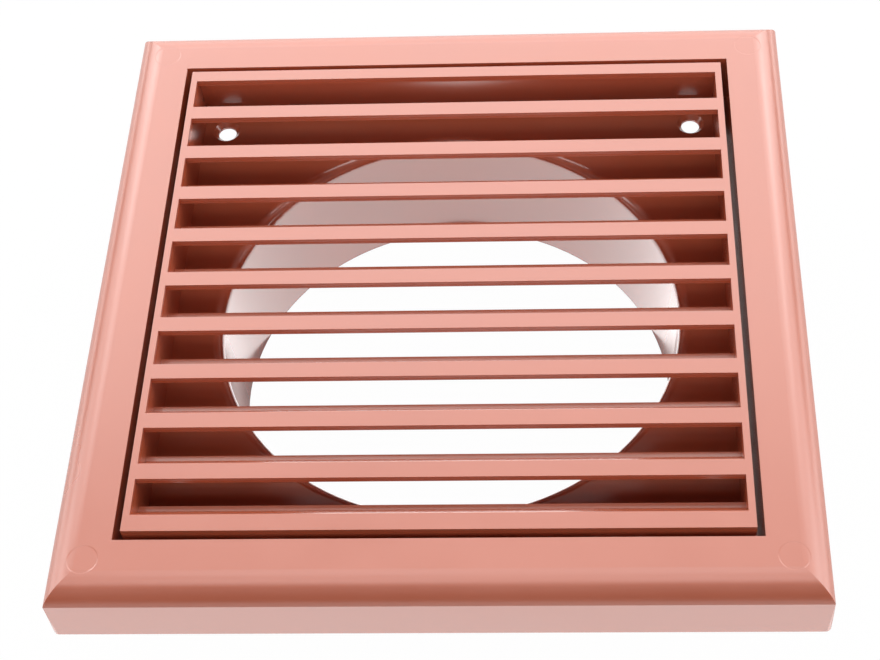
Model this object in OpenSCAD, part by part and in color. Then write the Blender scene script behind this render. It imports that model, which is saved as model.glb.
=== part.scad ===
// Square fixed louvre grille: a wall plate with a duct collar, and a louvre insert that clips into it.
// The origin is on the duct axis at the wall; +Z points into the room and +Y is up.

/* [Wall plate] */
// Width and height of the square plate just below its rounded edge
plate_size = 150; // [142:1:180]
// Depth of the plate from the wall to its front face
plate_depth = 14.5; // [13:0.5:22]
// Thickness of the outer side walls
side_wall = 2; // [1.2:0.1:3]
// Thickness of the front face around the opening
face_wall = 2; // [1.2:0.1:3]
// Radius of the rounded front edge
edge_radius = 6.4; // [3:0.1:8]
// Angle through which the edge rounds before it meets the side wall in a crisp line
edge_turn = 68; // [50:1:90]
// Distance by which each side wall spreads between the rounded edge and the wall
wall_draft = 0.3; // [0:0.05:0.8]
// Radius of the four upright corners of the plate
corner_radius = 1.2; // [0.4:0.1:3]
// Width and height of the square opening in the face
opening_size = 125.2; // [122:0.2:132]
// Thickness of the wall that lines the opening
pocket_wall = 2; // [1.2:0.1:2.6]
// Thickness of the panel at the bottom of the opening
back_wall = 1.5; // [1.2:0.1:3.5]

/* [Duct collar] */
// Outside diameter of the collar
collar_diameter = 101.2; // [80:0.2:108]
// Length of the collar behind the wall plane
collar_length = 29.5; // [12:0.5:60]
// Thickness of the collar wall next to the panel
collar_wall = 1.2; // [1:0.1:2.5]
// Amount by which the bore narrows at its tip, on the radius
collar_draft = 1.1; // [0.2:0.1:1.5]
// Radius of the rounded mouth of the bore
mouth_radius = 2.4; // [1:0.1:4]
// Width of the lead-in chamfer around the tip
lead_in = 0.8; // [0.3:0.1:1]

/* [Wall screws] */
// Distance between neighbouring screw holes
screw_pitch = 109; // [90:0.5:111]
// Diameter of the screw holes
screw_hole = 4.2; // [3:0.1:5]
// Depth and width of the countersink around each hole
screw_sink = 1; // [0.4:0.1:1.1]

/* [Louvre insert] */
// Clearance between the insert and the opening, left and right
side_gap = 1.5; // [0.4:0.05:2]
// Clearance between the insert and the opening, above and below
end_gap = 1.65; // [0.4:0.05:2]
// Distance by which the insert stands proud of the front face
insert_proud = 0.5; // [0:0.1:2]
// Thickness of the left and right walls of the insert
insert_side_wall = 1.4; // [1:0.05:2]
// Thickness of the top and bottom walls of the insert
insert_end_wall = 1.2; // [0.8:0.05:1.8]
// Depth of the top and bottom walls of the insert
insert_end_depth = 9.4; // [7:0.1:11]
// Height of the bar above the blades
top_bar = 3; // [2:0.05:6]
// Height of the bar below the blades
bottom_bar = 3.6; // [2:0.05:6]

/* [Louvre blades] */
// Distance from one blade to the next
blade_pitch = 11.95; // [9:0.01:18]
// Height of the flat front of each blade
blade_face = 3.55; // [2:0.05:4.5]
// Depth of each blade from front to back
blade_depth = 6.4; // [5:0.1:8]
// Rise of each blade towards the back, in degrees
blade_slope = 35.3; // [20:0.1:42]
// Thickness of the sloping part of each blade
blade_wall = 1.6; // [1:0.05:2]
// Depth of the straight lip under the front of each blade and of the top bar
blade_lip = 1.6; // [1:0.1:2.4]
// Height of the upturned edge at the back of each blade
crest_height = 1.15; // [0.4:0.05:2]
// Thickness of the upturned edge
crest_wall = 0.7; // [0.5:0.05:1.2]

/* [Clips] */
// Length of each clip lug
lug_length = 10; // [5:0.5:16]
// Thickness of each clip lug
lug_height = 1.6; // [1:0.1:2.2]
// Distance by which a lug reaches into the wall of the opening
lug_reach = 0.8; // [0.4:0.1:1.2]
// Distance between the two lugs on one wall
lug_pitch = 70; // [40:1:90]
// Distance from the back edge of the insert's top and bottom walls to the middle of a lug
lug_inset = 2.5; // [1.5:0.1:4]
// Clearance around a lug in its slot
lug_gap = 0.2; // [0.1:0.05:0.4]

/* [Hidden] */
$fn = 72;

// Cutting bodies run past the surface they open by this much
past = 1;

// Width and height of the plate at the wall, and what a side wall spreads for each unit of depth
foot_size = plate_size + 2 * wall_draft;
wall_lean = wall_draft / (plate_depth - edge_radius * (1 - cos(edge_turn)));

// The hollow behind the flange follows its outside at the thickness of the walls
hollow_half = plate_size / 2 - side_wall;
hollow_top = plate_depth - face_wall;
hollow_radius = max(edge_radius - side_wall, 0.1);

pocket_half = opening_size / 2 + pocket_wall;
collar_radius = collar_diameter / 2;
bore_radius = collar_radius - collar_wall;
tip_radius = bore_radius - collar_draft;

insert_half_x = opening_size / 2 - side_gap;
insert_half_y = opening_size / 2 - end_gap;
insert_front = plate_depth + insert_proud;
insert_depth = insert_front - back_wall;
blade_span = 2 * insert_half_x - insert_side_wall;
blades_top = insert_half_y - top_bar;
blades_bottom = bottom_bar - insert_half_y;
blades_middle = (blades_top + blades_bottom) / 2;
blade_count = floor((blades_top - blades_bottom - blade_face) / blade_pitch);
// Height of the slope above the face at the back of the blade, and what the slope measures upright
slope_rise = tan(blade_slope);
slope_upright = blade_wall / cos(blade_slope);
crest_start = blade_depth - crest_wall;

lug_z = insert_front - insert_end_depth + lug_inset;
lug_out = end_gap + lug_reach;

// Square with rounded corners, centred on the axis
module rounded_square(size, radius) {
    square([size, size - 2 * radius], center = true);
    square([size - 2 * radius, size], center = true);
    for (x = [-1, 1], y = [-1, 1])
        translate([x * (size / 2 - radius), y * (size / 2 - radius)]) circle(radius);
}

// Section across the plate: a block from low up to high whose sides lean in by the draft. Its two
// upper edges are rounded until they meet the sides, where the block is twice half wide.
module rounded_section(half, low, high, radius) {
    shoulder = high - radius * (1 - cos(edge_turn));
    foot = half + wall_lean * (shoulder - low);
    top = half - wall_lean * (high - shoulder);
    curve = half - radius * sin(edge_turn);
    intersection() {
        polygon([[-foot, low], [foot, low], [top, high], [-top, high]]);
        union() {
            translate([-curve - radius, low - past])
                square([2 * (curve + radius), high - radius - low + past]);
            translate([-curve, low - past]) square([2 * curve, high - low + past]);
            for (x = [-1, 1])
                translate([x * curve, high - radius]) circle(radius);
        }
    }
}

// A section is carried across the plate in both directions, so that its edges meet in mitres
module mitred(length) {
    intersection() {
        rotate([90, 0, 0]) linear_extrude(length, center = true) children();
        rotate([90, 0, 90]) linear_extrude(length, center = true) children();
    }
}

// Open space of the duct, from the rounded mouth down through the tip
module bore() {
    mouth_z = back_wall - mouth_radius;
    rotate_extrude() {
        polygon([
            [0, -collar_length - past],
            [tip_radius, -collar_length - past],
            [tip_radius, -collar_length],
            [bore_radius, mouth_z],
            [0, mouth_z]
        ]);
        difference() {
            translate([0, mouth_z]) square([bore_radius + mouth_radius, mouth_radius]);
            translate([bore_radius + mouth_radius, mouth_z]) circle(mouth_radius);
        }
        translate([0, back_wall]) square([bore_radius + mouth_radius, past]);
    }
}

// Outside of the collar, with the lead-in around its tip
module collar() {
    rotate_extrude()
        polygon([
            [0, -collar_length],
            [collar_radius - lead_in, -collar_length],
            [collar_radius, lead_in - collar_length],
            [collar_radius, back_wall],
            [0, back_wall]
        ]);
}

// Screw hole with its countersink, at the level of the panel
module screw_cut() {
    radius = screw_hole / 2;
    rotate_extrude()
        polygon([
            [0, -past],
            [radius, -past],
            [radius, back_wall - screw_sink],
            [radius + screw_sink, back_wall],
            [radius + screw_sink, back_wall + past],
            [0, back_wall + past]
        ]);
}

// Slots through the walls above and below the opening, which the lugs snap into
module lug_slots() {
    long = lug_length + 2 * lug_gap;
    high = lug_height + 2 * lug_gap;
    for (x = [-1, 1])
        translate([x * lug_pitch / 2, 0, lug_z])
            cube([long, 2 * (pocket_half + past), high], center = true);
}

module wall_plate() {
    color("rosybrown")
    difference() {
        union() {
            difference() {
                intersection() {
                    mitred(foot_size + 2 * past)
                        rounded_section(plate_size / 2, 0, plate_depth, edge_radius);
                    linear_extrude(plate_depth) rounded_square(foot_size, corner_radius);
                }
                mitred(plate_size) rounded_section(hollow_half, -past, hollow_top, hollow_radius);
            }
            linear_extrude(hollow_top) square(2 * pocket_half, center = true);
            collar();
        }
        translate([0, 0, back_wall])
            linear_extrude(plate_depth) square(opening_size, center = true);
        bore();
        for (x = [-1, 1], y = [-1, 1])
            translate([x * screw_pitch / 2, y * screw_pitch / 2, 0]) screw_cut();
        lug_slots();
    }
}

// Section of one blade: depth behind the front, then height above its middle
module blade_section() {
    half = blade_face / 2;
    polygon([
        [0, -half],
        [0, half],
        [crest_start, half + slope_rise * crest_start],
        [crest_start, half + slope_rise * crest_start + crest_height],
        [blade_depth, half + slope_rise * crest_start + crest_height],
        [blade_depth, half + slope_rise * blade_depth - slope_upright],
        [blade_lip, half + slope_rise * blade_lip - slope_upright],
        [blade_lip, -half]
    ]);
}

// Section of the bar above the blades and the wall behind it
module top_section() {
    polygon([
        [0, blades_top],
        [0, insert_half_y],
        [insert_end_depth, insert_half_y],
        [insert_end_depth, insert_half_y - insert_end_wall],
        [blade_lip, insert_half_y - insert_end_wall],
        [blade_lip, blades_top]
    ]);
}

// Section of the bar below the blades, which rises like a blade, and the wall behind it
module bottom_section() {
    polygon([
        [0, -insert_half_y],
        [0, blades_bottom],
        [crest_start, blades_bottom + slope_rise * crest_start],
        [crest_start, blades_bottom + slope_rise * crest_start + crest_height],
        [blade_depth, blades_bottom + slope_rise * crest_start + crest_height],
        [blade_depth, blades_bottom + slope_rise * blade_depth - slope_upright],
        [blade_lip, blades_bottom + slope_rise * blade_lip - slope_upright],
        [blade_lip, insert_end_wall - insert_half_y],
        [insert_end_depth, insert_end_wall - insert_half_y],
        [insert_end_depth, -insert_half_y]
    ]);
}

// A section is carried from one side wall of the insert to the other, its depth pointing back
module across() {
    translate([0, 0, insert_front])
        rotate([0, 90, 0])
            linear_extrude(blade_span, center = true) children();
}

// Clip lug on the top wall, bevelled at its back so that it pushes in from the front
module lug() {
    lead = min(lug_reach, lug_height / 2);
    rotate([90, 0, 90])
        linear_extrude(lug_length, center = true)
            polygon([
                [-insert_end_wall / 2, -lug_height / 2],
                [lug_out - lead, -lug_height / 2],
                [lug_out, lead - lug_height / 2],
                [lug_out, lug_height / 2],
                [-insert_end_wall / 2, lug_height / 2]
            ]);
}

module louvre_insert() {
    color("salmon")
    union() {
        for (side = [-1, 1])
            translate([side * (insert_half_x - insert_side_wall / 2), 0, back_wall + insert_depth / 2])
                cube([insert_side_wall, 2 * insert_half_y, insert_depth], center = true);
        across() top_section();
        across() bottom_section();
        for (i = [0 : blade_count - 1])
            translate([0, blades_middle + blade_pitch * (i - (blade_count - 1) / 2), 0])
                across() blade_section();
        for (x = [-1, 1], end = [0, 1])
            mirror([0, end, 0]) translate([x * lug_pitch / 2, insert_half_y, lug_z]) lug();
    }
}

wall_plate();
louvre_insert();
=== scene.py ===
from math import pi

import bpy
from mathutils import Matrix, Vector


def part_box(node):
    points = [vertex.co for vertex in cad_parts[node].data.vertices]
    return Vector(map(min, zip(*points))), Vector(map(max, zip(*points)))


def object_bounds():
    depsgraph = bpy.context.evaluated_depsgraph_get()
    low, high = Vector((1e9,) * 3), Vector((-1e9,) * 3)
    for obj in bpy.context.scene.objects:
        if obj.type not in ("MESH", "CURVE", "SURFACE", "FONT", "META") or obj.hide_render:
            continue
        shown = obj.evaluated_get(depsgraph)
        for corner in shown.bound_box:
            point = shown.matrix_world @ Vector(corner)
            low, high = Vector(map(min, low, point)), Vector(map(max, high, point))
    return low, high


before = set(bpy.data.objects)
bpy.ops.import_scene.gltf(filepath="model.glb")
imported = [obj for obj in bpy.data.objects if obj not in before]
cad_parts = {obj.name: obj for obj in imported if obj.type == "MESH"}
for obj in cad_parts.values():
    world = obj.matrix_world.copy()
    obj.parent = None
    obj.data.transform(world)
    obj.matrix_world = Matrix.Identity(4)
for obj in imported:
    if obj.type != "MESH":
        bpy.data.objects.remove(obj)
cad_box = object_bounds()

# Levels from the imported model, in metres: the insert stands a little proud of the plate's face
INSERT_PROUD = 0.0005
FACE_Z = cad_box[1][2] - INSERT_PROUD
FLOOR_Z = cad_box[0][2] - 0.0001


def node(tree, kind, inputs=None, **settings):
    """Adds one shader node, gives it its settings, then a value or a link for each named input."""
    made = tree.nodes.new(kind)
    for name, value in settings.items():
        setattr(made, name, value)
    for key, value in (inputs or {}).items():
        socket = made.inputs[key]
        if isinstance(value, bpy.types.NodeSocket):
            tree.links.new(value, socket)
        else:
            socket.default_value = value
    return made


def calc(tree, operation, *values):
    """One Math node with the given values or links, and its output."""
    return node(tree, "ShaderNodeMath", dict(enumerate(values)), operation=operation).outputs[0]


def fade(tree, value, start, end, first, last):
    """A level that runs from first to last while the value runs from start to end."""
    ends = {"Value": value, "From Min": start, "From Max": end, "To Min": first, "To Max": last}
    return node(tree, "ShaderNodeMapRange", ends).outputs["Result"]


def new_material(name):
    """A material with an empty node tree."""
    made = bpy.data.materials.new(name)
    made.use_nodes = True
    made.node_tree.nodes.clear()
    return made, made.node_tree


# The plastic: its colour, and how far the flow clouds pull that colour darker and lighter
TERRACOTTA = (0.42, 0.098, 0.047)
CLOUD_DARK = (0.975, 0.96, 0.95)
CLOUD_LIGHT = (1.02, 1.03, 1.04)
CLOUD_SCALE = 38.0
CLOUD_RANGE = (0.3, 0.7)

# Its finish: satin outside, polished on the walls inside the opening
SATIN = 0.3
POLISH = 0.2
CLOUD_GLOSS = 0.12
GLOSS_INDEX = 1.6

# Outside is what lies beyond the middle of the wall round the insert, or level with the face
LINING_OUTSET = 0.0024
LINING_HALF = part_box("louvre_insert")[1][0] + LINING_OUTSET
FACE_SKIN = 0.0003

# The grain, with its depth inside the opening and what the outside adds to it
GRAIN_SCALE = 2400.0
GRAIN_INSIDE = 0.000001
GRAIN_OUTSIDE = 0.000003

# The four round pin marks on the plate's face, placed by their distance from its sides
PLATE_HALF = cad_box[1][0]
MARK_INSET = (0.0076, 0.0085)
MARK_RADIUS = 0.0031
MARK_WIDTH = 0.00022
MARK_STEP = 0.00004


def tinted(base, factors):
    """The base colour with each channel times its factor, and full cover."""
    return tuple(channel * factor for channel, factor in zip(base, factors)) + (1,)


def pin_marks(tree, axes):
    """The height that falls by MARK_STEP inside a disc at each corner of the face."""
    offsets = [calc(tree, "SUBTRACT", calc(tree, "ABSOLUTE", axes[axis]), PLATE_HALF - inset)
               for axis, inset in zip("XY", MARK_INSET)]
    squares = [calc(tree, "POWER", offset, 2.0) for offset in offsets]
    away = calc(tree, "SQRT", calc(tree, "ADD", *squares))
    return fade(tree, away, MARK_RADIUS - MARK_WIDTH, MARK_RADIUS, 0.0, MARK_STEP)


def moulded_plastic(name, marks=False):
    """Terracotta moulded plastic: flow clouds in the colour, satin outside, polished inside the opening."""
    material, tree = new_material(name)
    place = node(tree, "ShaderNodeTexCoord").outputs["Object"]
    axes = node(tree, "ShaderNodeSeparateXYZ", {0: place}).outputs
    cloud_look = {"Vector": place, "Scale": CLOUD_SCALE, "Detail": 3.0, "Roughness": 0.55}
    clouds = node(tree, "ShaderNodeTexNoise", cloud_look).outputs["Fac"]
    colour = node(tree, "ShaderNodeValToRGB", {"Fac": clouds})
    for stop, level, factors in zip(colour.color_ramp.elements, CLOUD_RANGE, (CLOUD_DARK, CLOUD_LIGHT)):
        stop.position = level
        stop.color = tinted(TERRACOTTA, factors)

    wide = calc(tree, "MAXIMUM", calc(tree, "ABSOLUTE", axes["X"]), calc(tree, "ABSOLUTE", axes["Y"]))
    outside = calc(tree, "MAXIMUM", calc(tree, "GREATER_THAN", wide, LINING_HALF),
                   calc(tree, "GREATER_THAN", axes["Z"], FACE_Z - FACE_SKIN))
    finish = fade(tree, outside, 0.0, 1.0, POLISH, SATIN)
    gloss = calc(tree, "MULTIPLY_ADD", calc(tree, "SUBTRACT", clouds, 0.5), CLOUD_GLOSS, finish)

    grain_look = {"Vector": place, "Scale": GRAIN_SCALE, "Detail": 2.0}
    grain = node(tree, "ShaderNodeTexNoise", grain_look).outputs["Fac"]
    depth = calc(tree, "MULTIPLY_ADD", outside, GRAIN_OUTSIDE, GRAIN_INSIDE)
    height = calc(tree, "MULTIPLY", grain, depth)
    if marks:
        height = calc(tree, "ADD", height, pin_marks(tree, axes))
    skin = node(tree, "ShaderNodeBump", {"Height": height, "Strength": 1.0, "Distance": 1.0})
    shader = node(tree, "ShaderNodeBsdfPrincipled", {
        "Base Color": colour.outputs["Color"], "Roughness": gloss, "Normal": skin.outputs["Normal"],
        "IOR": GLOSS_INDEX, "Specular IOR Level": 1.0})
    node(tree, "ShaderNodeOutputMaterial", {"Surface": shader.outputs["BSDF"]})
    return material


def dress(name, material):
    """Gives every face of a node the material."""
    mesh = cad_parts[name].data
    mesh.materials.clear()
    mesh.materials.append(material)


dress("wall_plate", moulded_plastic("plate_plastic", marks=True))
dress("louvre_insert", moulded_plastic("insert_plastic"))

# The table: half its width, and how much of its white is its own glow
FLOOR_HALF = 3.0
FLOOR_GLOW = 0.985


def floor_white():
    """The table's material. The camera sees it white.

    In reflections its level is painted light and shade: the front strip by the plate is painted white light
    that fades towards the camera, and at the sides and the rear it is grey by the plate, a painted shadow
    of the plate, and white further out.
    """
    material, tree = new_material("floor_white")
    path = node(tree, "ShaderNodeLightPath").outputs
    place = node(tree, "ShaderNodeTexCoord").outputs["Object"]
    forward = node(tree, "ShaderNodeSeparateXYZ", {0: place}).outputs["Y"]
    away = node(tree, "ShaderNodeVectorMath", {0: place}, operation="LENGTH").outputs["Value"]
    # Painted shadow of the plate in reflections: grey by the plate at the sides and rear, white further out
    side = fade(tree, away, start=0.13, end=0.26, first=0.4, last=1.0)
    # Painted light in reflections: a white strip in front of the plate that fades towards the camera
    front = fade(tree, forward, start=-0.26, end=-0.16, first=0.1, last=1.0)
    in_front = fade(tree, forward, start=-0.09, end=-0.05, first=1.0, last=0.0)
    level = calc(tree, "MULTIPLY_ADD", calc(tree, "SUBTRACT", front, side), in_front, side)
    indirect = calc(tree, "MAXIMUM", path["Is Glossy Ray"], path["Is Transmission Ray"])
    seen = calc(tree, "MAXIMUM", path["Is Camera Ray"], calc(tree, "MULTIPLY", indirect, level))
    plain = node(tree, "ShaderNodeBsdfDiffuse", {"Color": (0.8, 0.8, 0.8, 1)})
    bright = node(tree, "ShaderNodeEmission", {"Color": (1, 1, 1, 1), "Strength": 1.0})
    white = node(tree, "ShaderNodeMixShader", {0: FLOOR_GLOW, 1: plain.outputs[0], 2: bright.outputs[0]})
    pick = node(tree, "ShaderNodeMixShader", {0: seen, 1: plain.outputs[0], 2: white.outputs[0]})
    node(tree, "ShaderNodeOutputMaterial", {"Surface": pick.outputs[0]})
    return material


def floor_sheet():
    """A flat square just under the collar's tip, as one face."""
    corners = [(x * FLOOR_HALF, y * FLOOR_HALF, FLOOR_Z) for x, y in ((-1, -1), (1, -1), (1, 1), (-1, 1))]
    mesh = bpy.data.meshes.new("floor")
    mesh.from_pydata(corners, [], [(0, 1, 2, 3)])
    mesh.materials.append(floor_white())
    made = bpy.data.objects.new("floor", mesh)
    bpy.context.scene.collection.objects.link(made)


floor_sheet()


def facing(place, aim):
    """The matrix of a lamp at place that shines at aim.

    Its width lies square to the row's Y axis. The lamps that look along Y have it square to Z.
    """
    back = (Vector(place) - Vector(aim)).normalized()
    along = Vector((0, 0, 1)) if abs(back.y) > 0.9 else Vector((0, 1, 0))
    across = along.cross(back).normalized()
    turn = Matrix((across, back.cross(across), back)).transposed()
    return Matrix.Translation(place) @ turn.to_4x4()


def soft_lamp(name, place, aim, size, use, radiance):
    """A rectangular lamp whose face has the given radiance.

    A "light" lamp lights the colour only, a "gleam" lamp shows only as a reflection, "both" does both.
    """
    lamp = bpy.data.lights.new(name, "AREA")
    lamp.shape = "RECTANGLE"
    lamp.size, lamp.size_y = size
    lamp.energy = radiance * pi * lamp.size * lamp.size_y
    made = bpy.data.objects.new(name, lamp)
    bpy.context.scene.collection.objects.link(made)
    made.matrix_world = facing(place, aim)
    made.visible_camera = False
    made.visible_diffuse = use != "gleam"
    made.visible_glossy = use != "light"


def table_lamp(name, x, y, size, radiance):
    """A patch of lit table, just above the floor and facing up, that shows only as a reflection."""
    soft_lamp(name, (x, y, FLOOR_Z + PATCH_LIFT), (x, y, 1), size, "gleam", radiance)


PATCH_LIFT = 0.0002

# Every lamp has its place, what it is aimed at, its size, its use and its radiance.
# The lamps at the left and right walls stand tall, and the table hides their foot.
CENTRE = (0, 0, 0.01)
soft_lamp("rear_high", (0, 0.66, 0.72), CENTRE, (1.4, 0.5), "both", 2.9)
soft_lamp("rear_wall", (0, 0.95, 0.36), (0, 0, 0.3), (1.9, 0.72), "gleam", 2.5)
soft_lamp("rear_left", (-0.82, 0.7, 0.56), CENTRE, (0.75, 0.62), "both", 2.2)
soft_lamp("rear_right", (0.82, 0.7, 0.56), CENTRE, (0.75, 0.62), "both", 2.2)
soft_lamp("left_wall", (-0.95, 0.15, 0.32), (0, 0.15, 0.3), (1.5, 0.64), "both", 2.5)
soft_lamp("right_wall", (0.95, 0.15, 0.32), (0, 0.15, 0.3), (1.5, 0.64), "both", 3.1)
soft_lamp("zenith", (0, 0.12, 1.0), CENTRE, (0.9, 0.5), "both", 2.25)
soft_lamp("front_top", (0, -0.36, 0.93), CENTRE, (1.0, 0.4), "gleam", 2.1)
soft_lamp("front_mid", (0, -0.72, 0.58), CENTRE, (1.2, 0.35), "light", 2.9)

# A patch has its place on the table, its size and its radiance
table_lamp("table_near", 0, -0.1, (0.5, 0.06), 1.3)
table_lamp("table_left", -0.36, 0.15, (0.3, 0.7), 1.5)
table_lamp("table_right", 0.36, 0.15, (0.3, 0.7), 1.9)
table_lamp("table_rear", 0, 0.36, (0.9, 0.26), 1.2)
table_lamp("table_duct", 0, 0, (0.09, 0.09), 2.0)

# The room's own light on the part, against the white that the camera sees
ROOM_LIGHT = 0.1


def white_room():
    """A world that is white to the camera and faint to everything else."""
    world = bpy.data.worlds.new("studio")
    world.use_nodes = True
    bpy.context.scene.world = world
    tree = world.node_tree
    tree.nodes.clear()
    to_camera = node(tree, "ShaderNodeLightPath").outputs["Is Camera Ray"]
    level = fade(tree, to_camera, start=0.0, end=1.0, first=ROOM_LIGHT, last=1.0)
    sky = node(tree, "ShaderNodeBackground", {"Color": (1, 1, 1, 1), "Strength": level})
    node(tree, "ShaderNodeOutputWorld", {"Surface": sky.outputs[0]})


white_room()

# The camera as solved from the plate's corners, in the picture's pixels and in metres
PICTURE_WIDTH = 880
PICTURE_HEIGHT = 660
LENS_PIXELS = 1830.33
LENS_CENTRE = (487.15, 296.97)
CAMERA_TURN = Vector((2.49666, 0.00439, -0.06463))
CAMERA_OFFSET = Vector((-0.0086121, -0.0040662, 0.3868053))
SENSOR_WIDTH = 36.0


def place_camera():
    """The solved camera, from its turn as a rotation vector and its offset from the middle of the face."""
    to_lens = Matrix.Rotation(CAMERA_TURN.length, 3, CAMERA_TURN)
    to_row = to_lens.transposed()
    eye = Vector((0, 0, FACE_Z)) - to_row @ CAMERA_OFFSET
    data = bpy.data.cameras.new("camera")
    data.sensor_fit = "HORIZONTAL"
    data.sensor_width = SENSOR_WIDTH
    data.lens = LENS_PIXELS * SENSOR_WIDTH / PICTURE_WIDTH
    data.shift_x = (PICTURE_WIDTH / 2 - LENS_CENTRE[0]) / PICTURE_WIDTH
    data.shift_y = (LENS_CENTRE[1] - PICTURE_HEIGHT / 2) / PICTURE_WIDTH
    data.clip_start = 0.01
    data.clip_end = 20.0
    made = bpy.data.objects.new("camera", data)
    bpy.context.scene.collection.objects.link(made)
    made.matrix_world = Matrix.Translation(eye) @ (to_row @ Matrix.Diagonal((1, -1, -1))).to_4x4()
    bpy.context.scene.camera = made


place_camera()
bpy.context.scene.view_settings.view_transform = "Standard"
